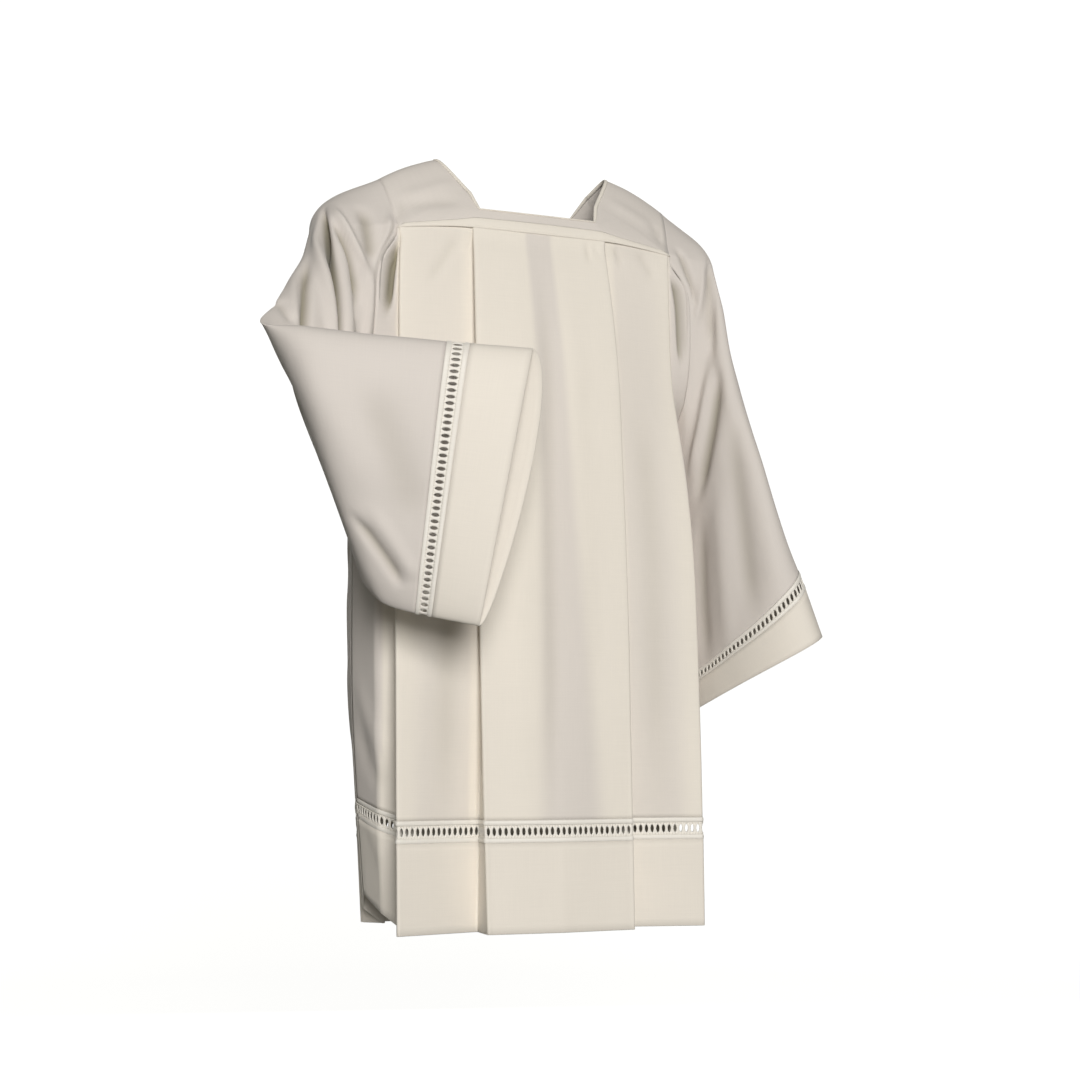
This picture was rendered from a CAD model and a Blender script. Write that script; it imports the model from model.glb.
"""Looks of the worn box-pleated surplice.

Every piece of cloth is a thin, finely meshed shell on the form of its CAD piece, with its creases
laid by hand. Openwork, satin borders, binding, piping and stitches are meshes of their own.
Metres, in the frame of the CAD part: +Z up, the wearer faces -Y.
"""

import math

import bmesh
import bpy
import numpy as np
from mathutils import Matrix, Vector, noise


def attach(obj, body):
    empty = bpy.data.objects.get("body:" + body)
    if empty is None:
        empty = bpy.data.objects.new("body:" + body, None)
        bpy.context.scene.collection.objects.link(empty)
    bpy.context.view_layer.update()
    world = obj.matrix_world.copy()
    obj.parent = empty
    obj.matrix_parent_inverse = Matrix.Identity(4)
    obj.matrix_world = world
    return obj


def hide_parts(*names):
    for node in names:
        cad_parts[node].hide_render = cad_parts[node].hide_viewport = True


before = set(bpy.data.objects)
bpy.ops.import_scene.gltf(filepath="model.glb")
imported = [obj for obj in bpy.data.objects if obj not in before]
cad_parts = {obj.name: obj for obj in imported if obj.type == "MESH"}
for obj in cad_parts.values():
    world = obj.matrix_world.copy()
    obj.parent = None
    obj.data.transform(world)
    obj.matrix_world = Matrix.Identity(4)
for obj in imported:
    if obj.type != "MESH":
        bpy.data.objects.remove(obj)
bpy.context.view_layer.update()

# ---------------------------------------------------------------- sizes shared with the CAD part
SIDE_SEAM_GAP = 0.0008
FRONT_SEAM_Z = -0.0905  # the yoke seam in front
BACK_SEAM_Z = -0.0950
FOLD_RADIUS = 0.0022  # of a pleat's fold
HEM_Z = -0.889
HEM_HEIGHT = 0.097
BAND_HEIGHT = 0.0245  # of the openwork
CUFF_HEM = 0.066
SIDE_HEM_RISE = 0.038  # the hem is this much higher at the side seams
YOKE_HALF_WIDTH = 0.172
LEVEL_SEAM = 0.083  # the yoke seam is level out to here
SEAM_DROP = 0.008  # and its ends are this much lower
SEAM_CURVE = 1.5
FALL_FADES = 6  # powers: how soon that drop is lost down the panel
RISE_GROWS = 3  # and how late the hem's rise begins
PIPING_HEIGHT = 0.009
YOKE_RISE = 0.004  # the yoke swells by this between its edges
FIRST_CURVED = 2  # the yoke's edges curve between these stations
SHOULDER = 3
LAST_CURVED = 4
SEARCHED_RINGS = 2  # rings back from the cuff among which a length is looked for
TOP_HEAVY = 0.28  # a sleeve bulges more above its middle by this share

# Columns: name, kind, x at the six heights, y at the six heights.
BODY_HEIGHTS = (-0.095, -0.240, -0.375, -0.520, -0.700, HEM_Z)
FRONT_FOLDS = (
    ("middle", "panel", (0.000, 0.000, 0.000, 0.000, 0.000, 0.000),
     (-0.0550, -0.083, -0.094, -0.103, -0.113, -0.124)),
    ("centre pleat edge", "over", (0.083, 0.0885, 0.090, 0.091, 0.0895, 0.0875),
     (-0.0535, -0.078, -0.088, -0.097, -0.107, -0.118)),
    ("centre pleat tuck", "under", (0.043, 0.045, 0.047, 0.052, 0.080, 0.085),
     (-0.0455, -0.069, -0.080, -0.087, -0.080, -0.078)),
    ("side pleat edge", "over", (0.1705, 0.171, 0.181, 0.185, 0.185, 0.184),
     (-0.0465, -0.052, -0.070, -0.084, -0.093, -0.099)),
    ("side pleat tuck", "under", (0.130, 0.131, 0.140, 0.146, 0.153, 0.160),
     (-0.0395, -0.043, -0.061, -0.074, -0.071, -0.066)),
    ("side panel", "panel", (0.150, 0.168, 0.188, 0.195, 0.190, 0.180),
     (-0.0395, -0.044, -0.050, -0.047, -0.040, -0.032)),
)
BACK_FOLDS = (
    ("middle", "panel", (0.000, 0.000, 0.000, 0.000, 0.000, 0.000),
     (0.0880, 0.106, 0.103, 0.104, 0.111, 0.122)),
    ("centre pleat edge", "over", (0.085, 0.088, 0.090, 0.091, 0.090, 0.088),
     (0.0850, 0.101, 0.099, 0.099, 0.105, 0.116)),
    ("centre pleat tuck", "under", (0.045, 0.046, 0.048, 0.050, 0.064, 0.076),
     (0.0770, 0.093, 0.091, 0.091, 0.089, 0.088)),
    ("side pleat edge", "over", (0.1690, 0.170, 0.180, 0.182, 0.175, 0.163),
     (0.0730, 0.079, 0.082, 0.086, 0.090, 0.094)),
    ("side pleat tuck", "under", (0.129, 0.130, 0.139, 0.144, 0.144, 0.143),
     (0.0660, 0.071, 0.074, 0.077, 0.074, 0.070)),
    ("side panel", "panel", (0.148, 0.167, 0.189, 0.195, 0.188, 0.175),
     (0.0660, 0.073, 0.068, 0.060, 0.054, 0.050)),
)

# Columns: z, x, y of the armhole's edge and then the side seam.
FRONT_CORNER_Z = -0.1015
BACK_CORNER_Z = -0.1000
UNDERARM_Z = -0.3200
SIDE_SEAM = (
    (UNDERARM_Z, 0.2010, 0.0120),
    (-0.3750, 0.2030, 0.0150),
    (-0.5200, 0.2035, 0.0150),
    (-0.6300, 0.2025, 0.0150),
    (HEM_Z, 0.1860, 0.0150),
)
FRONT_EDGE = (
    (FRONT_CORNER_Z, 0.1735, -0.0440),
    (-0.1400, 0.1960, -0.0500),
    (-0.2000, 0.1990, -0.0480),
    (-0.2700, 0.2000, -0.0280),
    *SIDE_SEAM,
)
BACK_EDGE = (
    (BACK_CORNER_Z, 0.1735, 0.0690),
    (-0.1400, 0.1950, 0.0730),
    (-0.2000, 0.1990, 0.0710),
    (-0.2700, 0.2000, 0.0510),
    *SIDE_SEAM,
)

# Columns: name, the neck's edge, the outer edge, fine steps to the next station.
YOKE = (
    ("front middle", (0.0, -0.0470, -0.0670), (0.0, -0.0550, FRONT_SEAM_Z), 16),
    ("front neck corner", (0.0725, -0.0465, -0.0670), (LEVEL_SEAM, -0.0535, FRONT_SEAM_Z), 18),
    ("front yoke corner", (0.0790, -0.0340, -0.0450),
     (YOKE_HALF_WIDTH, -0.0465, FRONT_SEAM_Z - SEAM_DROP), 20),
    ("shoulder", (0.1080, 0.0000, 0.0000), (0.1820, 0.0030, -0.0320), 20),
    ("back yoke corner", (0.0990, 0.0370, -0.0130),
     (YOKE_HALF_WIDTH, 0.0720, BACK_SEAM_Z - SEAM_DROP), 18),
    ("back neck corner", (0.0880, 0.0610, -0.0350), (LEVEL_SEAM, 0.0850, BACK_SEAM_Z), 16),
    ("back middle", (0.0, 0.0660, -0.0390), (0.0, 0.0880, BACK_SEAM_Z), 0),
)

# Columns: name, highest point, lowest point, headings in degrees of its front side and of its
# other side, how far the front side bulges, how far the other does, how far the front is lifted.
RIGHT_SLEEVE = (
    ("shoulder", (-0.250, -0.002, -0.071), (-0.213, 0.000, -0.350), (-86, 94), 0.060, 0.052, 0.0),
    ("upper arm", (-0.281, -0.050, -0.143), (-0.224, -0.038, -0.415), (-65, 115), 0.052, 0.038, 0.0),
    ("above the elbow", (-0.331, -0.117, -0.214), (-0.227, -0.080, -0.465), (-42, 138), 0.036, 0.012, 0.0),
    ("elbow", (-0.361, -0.168, -0.251), (-0.241, -0.125, -0.500), (8, 188), 0.040, -0.006, 0.0),
    ("forearm", (-0.318, -0.196, -0.258), (-0.235, -0.158, -0.528), (56, 236), 0.026, 0.036, 0.0),
    ("wrist", (-0.212, -0.226, -0.267), (-0.216, -0.184, -0.545), (48, 248), 0.034, 0.034, 0.0),
    ("cuff", (-0.092, -0.252, -0.273), (-0.143, -0.232, -0.563), (22, 250), 0.030, 0.028, 0.0),
)
LEFT_SLEEVE = (
    ("shoulder", (0.228, 0.002, -0.068), (0.209, 0.012, -0.350), (-90, 90), 0.060, 0.068, 0.0),
    ("upper arm", (0.238, -0.006, -0.115), (0.212, 0.012, -0.400), (-90, 90), 0.066, 0.075, 0.0),
    ("above the elbow", (0.248, -0.012, -0.190), (0.215, 0.012, -0.450), (-90, 90), 0.073, 0.080, 0.004),
    ("elbow", (0.270, -0.018, -0.290), (0.218, 0.012, -0.500), (-90, 90), 0.084, 0.090, 0.008),
    ("forearm", (0.300, -0.022, -0.400), (0.221, 0.012, -0.560), (-90, 90), 0.098, 0.100, 0.012),
    ("wrist", (0.327, -0.026, -0.490), (0.223, 0.012, -0.610), (-90, 90), 0.110, 0.108, 0.016),
    ("cuff", (0.348, -0.030, -0.560), (0.226, 0.012, -0.645), (-90, 90), 0.118, 0.112, 0.020),
)

# ---------------------------------------------------------------- how finely the cloth is meshed
SEGMENT_STEPS = (24, 8, 32, 8, 10, 12)  # between the fold lines, from the middle to the side seam
ARC_POINTS = 5  # round a pleat's fold
BODY_ROWS = 136
HEM_ROWS = 12
BAND_ROWS = 9
SLEEVE_POINTS = 272
SLEEVE_ROWS = 146
CUFF_ROWS = 10
YOKE_ROWS = 16
EDGE_POINTS = 28

# ---------------------------------------------------------------- the cloth's own sizes
BODY_CENTRE = np.array([0.0, 0.012, 0.0])  # a line up the middle of the body
YOKE_CENTRE = np.array([0.0, 0.012, -0.100])
OUTWARD_WIDTH = 0.040  # the body's outward way is that of an oval in this proportion
OUTWARD_DEPTH = 0.012
LAYER = 0.0009  # one layer of cloth
HEM_LAYER = 0.0006  # each layer of a turned hem
HEM_APART = 0.0007  # from the hem's middle to each of its layers
TUCK_UNDER = 0.004  # seam allowance that runs on under the neighbouring piece
TUCK_BEHIND = 0.0012  # and how far behind it that lies
HEM_FOLD = 0.0004  # how far a hem's folded edge reaches past its two layers
NECK_CALM = 0.008  # the yoke's creases fade out this near the neck
YOKE_SEAM_CALM = 0.010  # and this near the yoke's outer edge
TRIM_LAYER = 0.0005  # the piping's cloth
BINDING_LAYER = 0.0004
RIBBON_LAYER = 0.0003  # the openwork's satin borders
SEAM_CALM = 0.012  # creases fade out this near a seam
PRESSED = 0.25  # the pleats' layers are pressed to this share of their depth at the yoke seam
PRESSED_HEIGHT = 0.030  # and open out over this height

# ---------------------------------------------------------------- creases laid by hand
# A crease runs through three points, and is snapped to the cloth. All in millimetres.
# Columns: name, start, middle, end, half-width, depth. A ridge is positive and a trough negative.
FRONT_CREASES = (
    ("pressed middle", (0, -57, -100), (-6, -94, -420), (-12, -122, -889), 11, -3),
    ("ridge left of it", (26, -60, -130), (30, -94, -420), (24, -120, -880), 16, 1.6),
    ("ridge right of it", (-34, -60, -150), (-40, -92, -500), (-46, -118, -880), 18, 1.8),
    ("pull from the yoke", (-94, -48, -98), (-118, -51, -131), (-141, -53, -168), 6, -2.2),
    ("first gather", (60, -56, -92), (61, -59, -106), (60, -62, -124), 3.5, -2),
    ("second gather", (70, -55, -92), (71, -58, -100), (70, -60, -110), 2.8, -1.4),
    ("third gather", (97, -47, -94), (103, -48, -106), (110, -49, -122), 3.5, -2.6),
    ("fourth gather", (126, -48, -96), (141, -49, -112), (153, -50, -136), 6, -2.2),
    ("left chest fold", (178, -45, -108), (188, -48, -172), (192, -42, -240), 4.8, -12),
    ("right chest fold", (-176, -46, -98), (-182, -47, -145), (-186, -45, -212), 6, -15),
    ("left panel dip", (128, -60, -260), (132, -83, -480), (134, -104, -880), 20, -2.6),
    ("right panel dip", (-118, -62, -330), (-122, -84, -520), (-124, -104, -880), 20, -2.8),
    ("right side pull", (-203, 4, -600), (-194, -28, -663), (-176, -55, -700), 14, 2.2),
    ("right side dip", (-204, 2, -655), (-196, -24, -705), (-180, -50, -735), 13, -2.2),
    ("right side low pull", (-196, -2, -740), (-188, -28, -790), (-176, -52, -815), 13, 1.6),
    ("left side pull", (203, 4, -560), (195, -30, -630), (176, -55, -665), 14, 2),
    ("left side dip", (200, 2, -690), (192, -26, -750), (178, -50, -780), 14, -2),
)
BACK_CREASES = (
    ("pressed middle", (0, 89, -100), (5, 104, -420), (8, 121, -889), 11, -3),
    ("ridge left of it", (34, 92, -140), (36, 103, -480), (40, 119, -880), 18, 1.8),
    ("ridge right of it", (-28, 92, -130), (-34, 103, -440), (-30, 119, -880), 16, 1.6),
    ("left blade pull", (150, 74, -104), (128, 84, -160), (112, 90, -230), 10, -2.6),
    ("right blade pull", (-152, 74, -104), (-126, 84, -170), (-106, 91, -260), 11, -3),
    ("left blade ridge", (168, 73, -130), (146, 83, -200), (128, 88, -290), 12, 2.2),
    ("right blade ridge", (-170, 73, -126), (-148, 83, -190), (-124, 89, -280), 12, 2.4),
    ("first gather", (54, 88, -97), (55, 91, -112), (54, 94, -128), 3.5, -1.8),
    ("second gather", (-62, 88, -97), (-63, 91, -110), (-62, 94, -124), 3.5, -2),
    ("third gather", (112, 81, -98), (114, 83, -114), (118, 86, -134), 4, -2.2),
    ("left panel dip", (126, 88, -300), (130, 92, -500), (126, 105, -880), 20, -2.6),
    ("right panel dip", (-130, 88, -260), (-132, 92, -520), (-126, 105, -880), 20, -2.8),
    ("left side pull", (203, 30, -520), (194, 56, -600), (178, 78, -640), 14, 2.2),
    ("right side pull", (-203, 30, -560), (-192, 56, -640), (-176, 78, -690), 14, 2.2),
    ("left side dip", (201, 30, -660), (190, 54, -730), (172, 74, -770), 14, -2),
    ("right side dip", (-202, 30, -420), (-194, 56, -480), (-180, 78, -520), 13, -1.8),
)
RIGHT_SLEEVE_CREASES = (
    ("deep fold", (-256, -16, -66), (-256, -88, -184), (-240, -172, -330), 4.6, -29),
    ("ridge outside it", (-266, -22, -86), (-270, -88, -180), (-256, -160, -310), 7, 8.5),
    ("ridge inside it", (-244, -30, -90), (-243, -78, -176), (-228, -138, -290), 7, 4),
    ("outer trough", (-284, -56, -138), (-300, -113, -208), (-306, -150, -270), 7, -9.5),
    ("outermost ridge", (-292, -60, -150), (-311, -117, -212), (-318, -150, -262), 8, 4.5),
    ("elbow dip", (-330, -112, -212), (-326, -134, -230), (-309, -150, -246), 8, -3.5),
    ("left of the V", (-248, -26, -70), (-230, -54, -120), (-204, -53, -162), 4.5, 7),
    ("under the left of the V", (-250, -40, -92), (-234, -60, -146), (-216, -62, -200), 6, -10),
    ("inside the V", (-212, -30, -70), (-208, -47, -112), (-205, -53, -150), 8.5, -6),
    ("right of the V", (-176, -30, -64), (-186, -47, -114), (-203, -53, -164), 4.2, 6.5),
    ("strip below the V", (-206, -52, -146), (-206, -56, -205), (-210, -60, -300), 7.5, 6),
    ("trough beside the strip", (-222, -66, -180), (-224, -70, -225), (-228, -78, -290), 8, -4.5),
    ("lower inner fold", (-274, -194, -440), (-240, -204, -490), (-216, -203, -528), 6, -5.5),
    ("lower inner ridge", (-262, -204, -430), (-226, -212, -484), (-205, -212, -520), 8, 3),
    ("forearm roll", (-330, -204, -290), (-292, -222, -367), (-256, -214, -440), 20, 2.5),
    ("forearm sag", (-270, -222, -300), (-235, -232, -390), (-200, -226, -480), 26, -3),
    ("elbow crook", (-300, -150, -262), (-262, -150, -330), (-236, -140, -420), 12, -7),
    ("elbow crook ridge", (-292, -176, -262), (-258, -170, -340), (-236, -158, -430), 10, 4),
    ("back of the arm", (-266, 46, -120), (-290, -30, -230), (-290, -90, -340), 12, -7),
    ("back of the arm ridge", (-250, 56, -140), (-274, 0, -260), (-272, -70, -380), 12, 4.5),
    ("shoulder blade fold", (-212, 70, -120), (-226, 60, -200), (-240, 30, -300), 8, -6),
    ("outer sag", (-330, -90, -260), (-322, -140, -300), (-290, -170, -360), 16, -4),
    ("under the arm", (-218, 30, -250), (-240, -20, -340), (-246, -80, -420), 10, -5),
    ("below the shoulder point", (-268, 30, -80), (-298, 4, -134), (-320, -34, -196), 20, -6.5),
    ("deep fold lower down", (-258, -78, -164), (-248, -130, -250), (-236, -186, -350), 3.4, -15),
)
LEFT_SLEEVE_CREASES = (
    ("crossing fold", (184, -36, -82), (196, -48, -118), (206, -54, -170), 4.5, -5),
    ("crossing ridge", (226, -38, -84), (214, -52, -130), (202, -50, -190), 5.5, 5),
    ("long fold", (224, -40, -85), (222, -56, -150), (222, -58, -230), 7, -5.5),
    ("outer long ridge", (232, -46, -110), (231, -68, -210), (240, -83, -320), 10, 4.5),
    ("shoulder cap dip", (238, -30, -100), (246, -52, -170), (258, -66, -250), 12, -3),
    ("dark flute", (216, -36, -400), (219, -26, -500), (222, -30, -610), 12, -4.5),
    ("light flute", (226, -62, -360), (230, -62, -480), (234, -66, -600), 14, 3.5),
    ("middle flute", (238, -76, -270), (247, -87, -420), (256, -98, -570), 15, -4.2),
    ("outer flute", (254, -80, -280), (270, -105, -420), (284, -118, -540), 16, 3.4),
    ("outermost flute", (268, -60, -280), (296, -90, -400), (314, -102, -500), 16, -3),
    ("back dark flute", (216, 60, -320), (221, 68, -440), (228, 76, -590), 12, -6.5),
    ("back light flute", (230, 86, -320), (240, 94, -440), (250, 102, -570), 14, 4.8),
    ("back middle flute", (250, 84, -300), (264, 96, -420), (280, 104, -550), 14, -5),
    ("back outer flute", (272, 60, -320), (294, 72, -420), (314, 78, -520), 15, 3.8),
    ("back shoulder fold", (214, 70, -110), (222, 78, -180), (226, 80, -270), 8, -6),
    ("back shoulder ridge", (226, 66, -110), (236, 78, -190), (242, 82, -290), 10, 4.5),
    ("outer arm dip", (252, 10, -180), (282, 14, -300), (318, 12, -430), 16, -3.5),
    ("facet edge", (224, -60, -215), (217, -41, -295), (211, -10, -372), 7, 4.5),
    ("facet trough", (229, -70, -225), (221, -52, -315), (215, -22, -405), 9, -7),
)
YOKE_CREASES = (
    ("right shoulder roll", (-90, -28, -30), (-128, -28, -44), (-168, -30, -64), 9, 2.2),
    ("right shoulder dip", (-86, -40, -56), (-125, -38, -62), (-166, -34, -68), 8, -2.2),
    ("right corner crease", (-158, -26, -56), (-164, -36, -74), (-170, -44, -92), 4.5, -2.2),
    ("left shoulder roll", (96, -30, -32), (130, -30, -46), (160, -36, -64), 9, 1.8),
    ("left corner crease", (160, -22, -54), (164, -34, -72), (168, -43, -90), 4.5, -2.2),
    ("back left dip", (100, 44, -30), (128, 58, -60), (156, 64, -88), 9, -2.2),
    ("back right dip", (-98, 46, -34), (-130, 56, -58), (-160, 62, -88), 9, -2.4),
)

MILLIMETRE = 0.001
CREASE_STEPS = 41  # points along a crease
CREASE_TAPER = 0.30  # the share of its length over which each end of a crease fades
CREASE_REACH = 0.6  # the share of its length that a crease covers each way from its middle
CREASE_EDGE = 3  # and this many half-widths more
EASING = 16  # how often a crease is smoothed once it lies on the cloth
CREASE_TONE = 0.011  # a trough this deep looks as dark as one gets

# Soft unevenness. Columns: how often it turns per metre across and down, and how far it reaches.
SOFTNESS = ((11.0, 2.2, 0.0013), (34.0, 9.0, 0.00040), (95.0, 45.0, 0.00012))

# ---------------------------------------------------------------- openwork, borders and stitches
HOLE_PITCH = 0.0068
HOLE_HALF_WIDTH = 0.0020
HOLE_HALF_HEIGHT = 0.0047
HOLE_POINTED = 0.75  # the power that points a hole's ends
NET_HALF = 0.0066  # from the row of holes to a satin border
BORDER_WIDTH = 0.0058
BORDER_RISE = 0.0007  # the satin stands this proud
BAR_RISE = 0.0005  # and the bars between holes this proud
BEAD_PITCH = 0.0034
BEAD_RADIUS = 0.00075
BEAD_AWAY = 0.0057  # from the row of holes to each row of beads
SATIN_THREAD_PITCH = 0.0006
STITCH_PITCH = 0.0032
STITCH_LENGTH = 0.0023
STITCH_RADIUS = 0.00032
# The binding's section from inside the neck to outside. Columns: distance from the edge, lift.
BINDING_SECTION = (
    (0.0040, -0.0008),
    (0.0010, -0.0010),
    (-0.0004, -0.0007),
    (-0.0009, 0.0),
    (-0.0004, 0.0008),
    (0.0008, 0.0012),
    (0.0022, 0.0011),
    (0.0040, 0.0008),
)
BINDING_STITCHES = (0.0026, 0.0014)  # their distance from the edge and their lift
PIPING_STEPS = 9
PIPING_LAP = 0.0010  # how far the piping reaches below the seam
PIPING_LIFT = 0.0007
PIPING_CROWN = 0.0011
PIPING_STITCH_LIFT = 0.0018
LOWER_STITCHES = 0.0010  # above the seam
UPPER_STITCHES = PIPING_HEIGHT - 0.0012

# ---------------------------------------------------------------- colours
THICK_CREAM = (0.840, 0.785, 0.700)  # where the cloth lies double
THIN_CREAM = (0.705, 0.655, 0.610)  # where one thin layer hangs alone
SATIN_COLOUR = (0.880, 0.840, 0.770)
TROUGH_TINT = (0.40, 0.39, 0.31)  # where a deep fold lets the light die
THREAD_COLOUR = (0.780, 0.730, 0.630)
FLOOR_COLOUR = (0.930, 0.930, 0.930)
FLOOR_GRAIN_COLOUR = (0.940, 0.940, 0.935)
FLOOR_GLOW = (1.0, 1.0, 0.995, 1.0)
FLOOR_GLOW_STRENGTH = 0.85
AIR_COLOUR = (1.0, 0.99, 0.90, 1.0)
AIR_STRENGTH = 0.12

# ---------------------------------------------------------------- where the cloth hangs single
# The body's colour goes from thick to thin over these widths, which change on the way down.
THIN_TOP = 0.10  # below the shoulders
THIN_HEIGHT = 0.70
MIDDLE_X = -0.003  # the thin strip down the centre pleat
MIDDLE_DRIFT = 0.018
MIDDLE_HALF = 0.0155
MIDDLE_GROWTH = 0.022
MIDDLE_BLUR = 0.006
MIDDLE_BLUR_GROWTH = 0.026
MIDDLE_TONE = 0.80
PANEL_INNER = 0.0935  # each part between the centre pleat and the side pleat
PANEL_INNER_BLUR = 0.006
PANEL_OUTER = 0.176
PANEL_OUTER_BLUR = 0.045
PANEL_OUTER_SHARPER = 0.020
LEFT_PANEL_TONE = (0.40, 0.20)  # at the top, and how much more at the hem
RIGHT_PANEL_TONE = (0.20, 0.30)
SIDE_INNER = 0.1705  # the sides, past the side pleats
SIDE_DRIFT = 0.0145
SIDE_DRIFT_TOP = 0.24
SIDE_DRIFT_HEIGHT = 0.28
SIDE_BLUR = 0.004
YOKE_TONE = 0.85
HEM_TONE = 0.10

# ---------------------------------------------------------------- the stage
AIM = (0.0, 0.0, -0.45)
FLOOR_Z = -1.45  # the soles of a wearer whose shoulders are at the origin
FLOOR_RADIUS = 4.6  # flat out to here
WALL_BEND = 2.4  # the radius of the bend from floor to wall
WALL_TOP = 6.0
# Columns: name, azimuth, elevation, distance, size, power, colour.
SOFTBOXES = (
    ("key softbox", -15.0, 9.0, 5.0, 1.7, 208.0, (1.0, 0.985, 0.965)),
    ("fill softbox", 60.0, 8.0, 3.6, 2.0, 4.0, (1.0, 0.99, 0.95)),
    ("back softbox", 165.0, 12.0, 3.4, 1.6, 70.0, (1.0, 0.99, 0.97)),
)
CAMERA_PLACE = (-0.8729, -2.1334, -0.6945)
CAMERA_AZIMUTH = -22.773
CAMERA_PITCH = 6.167
CAMERA_LENS = 65.77


# ================================================================ curves
def through(knots, values, at):
    """A smooth value at one place, through the values at the knots, with no overshoot."""
    knots = np.asarray(knots, float)
    values = np.asarray(values, float)
    if knots[0] > knots[-1]:
        knots = knots[::-1]
        values = values[::-1]
    at = min(max(at, knots[0]), knots[-1])
    gaps = np.diff(knots)
    slopes = (np.diff(values, axis=0).T / gaps).T
    tangents = np.zeros_like(values)
    tangents[0] = slopes[0]
    tangents[-1] = slopes[-1]
    for i in range(1, len(knots) - 1):
        before = slopes[i - 1]
        after = slopes[i]
        mean = (before * gaps[i] + after * gaps[i - 1]) / (gaps[i] + gaps[i - 1])
        limit = 3 * np.minimum(np.abs(before), np.abs(after))
        tangents[i] = np.where(before * after > 0, np.clip(mean, -limit, limit), 0.0)
    i = min(int(np.searchsorted(knots, at, side="right")) - 1, len(knots) - 2)
    gap = gaps[i]
    s = (at - knots[i]) / gap
    return (
        values[i] * (2 * s**3 - 3 * s**2 + 1)
        + tangents[i] * gap * (s**3 - 2 * s**2 + s)
        + values[i + 1] * (3 * s**2 - 2 * s**3)
        + tangents[i + 1] * gap * (s**3 - s**2)
    )


def round_through(points, at):
    """A Catmull-Rom point on a list of points, at a place counted in points."""
    points = np.asarray(points, float)
    last = len(points) - 1
    i = int(min(max(math.floor(at), 0), last - 1))
    s = at - i
    a = points[max(i - 1, 0)]
    b = points[i]
    c = points[i + 1]
    d = points[min(i + 2, last)]
    if i == 0:
        a = 2 * b - c
    if i == last - 1:
        d = 2 * c - b
    square = 2 * a - 5 * b + 4 * c - d
    cube = 3 * b - a - 3 * c + d
    return 0.5 * (2 * b + (c - a) * s + square * s**2 + cube * s**3)


def smooth(value):
    """0 below 0, 1 above 1, and a smooth step between."""
    value = np.clip(value, 0.0, 1.0)
    return value * value * (3 - 2 * value)


def unit(vectors):
    lengths = np.linalg.norm(vectors, axis=-1, keepdims=True)
    return vectors / np.maximum(lengths, 1e-12)


def run_along(points):
    """The distance covered at each point of a path."""
    return np.concatenate([[0.0], np.cumsum(np.linalg.norm(np.diff(points, axis=0), axis=1))])


# ================================================================ the body's form
def edge_point(edge, z):
    heights = [row[0] for row in edge]
    places = [(row[1], row[2]) for row in edge]
    backward = -1 if edge is FRONT_EDGE else 1
    return through(heights, places, z) + np.array([0.0, backward * SIDE_SEAM_GAP / 2])


def fold_arc(corner, came_from, goes_to):
    """Points that turn the cloth round a pleat's fold."""
    leave = unit(came_from - corner)
    away = unit(goes_to - corner)
    outward = unit(-(leave + away))
    across = unit(away - leave)
    centre = corner - outward * FOLD_RADIUS
    turns = np.linspace(0, math.pi, ARC_POINTS)
    return [centre + FOLD_RADIUS * (outward * math.sin(t) - across * math.cos(t)) for t in turns]


def half_section(folds, edge, z):
    """Half a pleated section at one height: x, y and a share of the side panel, middle to seam."""
    corners = [through(BODY_HEIGHTS, list(zip(row[2], row[3])), z) for row in folds]
    corners.append(edge_point(edge, z))
    kinds = [row[1] for row in folds] + ["panel"]
    last_fold = max(i for i, kind in enumerate(kinds) if kind != "panel")
    groups = []
    for i, (corner, kind) in enumerate(zip(corners, kinds)):
        if kind == "panel":
            groups.append([corner])
        else:
            groups.append(fold_arc(corner, corners[i - 1], corners[i + 1]))
    panels = len(groups) - 1 - last_fold
    points = []
    for i, group in enumerate(groups):
        share = max(i - last_fold, 0) / panels
        points += [(p[0], p[1], share) for p in group]
        if i + 1 == len(groups):
            break
        start = group[-1]
        end = groups[i + 1][0]
        next_share = max(i + 1 - last_fold, 0) / panels
        for k in range(1, SEGMENT_STEPS[i]):
            s = k / SEGMENT_STEPS[i]
            p = start + (end - start) * s
            points.append((p[0], p[1], share + (next_share - share) * s))
    return np.array(points)


def seam_drop(x):
    past = np.maximum(np.abs(x) - LEVEL_SEAM, 0.0) / (YOKE_HALF_WIDTH - LEVEL_SEAM)
    return SEAM_DROP * past**SEAM_CURVE


def panel_top(folds):
    return FRONT_SEAM_Z if folds is FRONT_FOLDS else BACK_SEAM_Z


def seam_line_y(folds, x):
    """How far forward or back the yoke's edge runs."""
    first, second = (0, 2) if folds is FRONT_FOLDS else (6, 4)
    stations = [YOKE[first][2], YOKE[(first + second) // 2][2], YOKE[second][2]]
    return np.interp(x, [p[0] for p in stations], [p[1] for p in stations])


def body_grid(folds, edge, first_z, last_z, count):
    """Rows of points on the front or back between two nominal heights."""
    top = panel_top(folds)
    rows = []
    for nominal in np.linspace(first_z, last_z, count):
        level = (nominal - top) / (HEM_Z - top)
        half = half_section(folds, edge, min(nominal, edge[0][0]))
        open_layers = PRESSED + (1 - PRESSED) * smooth((top - nominal) / PRESSED_HEIGHT)
        seam_y = seam_line_y(folds, half[:, 0])
        half[:, 1] = seam_y + (half[:, 1] - seam_y) * open_layers
        fall = seam_drop(half[:, 0]) * max(1 - level, 0.0) ** FALL_FADES
        rise = SIDE_HEM_RISE * half[:, 2] * max(level, 0.0) ** RISE_GROWS
        left = np.stack([half[:, 0], half[:, 1], nominal - fall + rise], axis=1)
        right = left[1:][::-1] * np.array([-1.0, 1.0, 1.0])
        rows.append(np.concatenate([right, left]))
    return np.array(rows)


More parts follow.
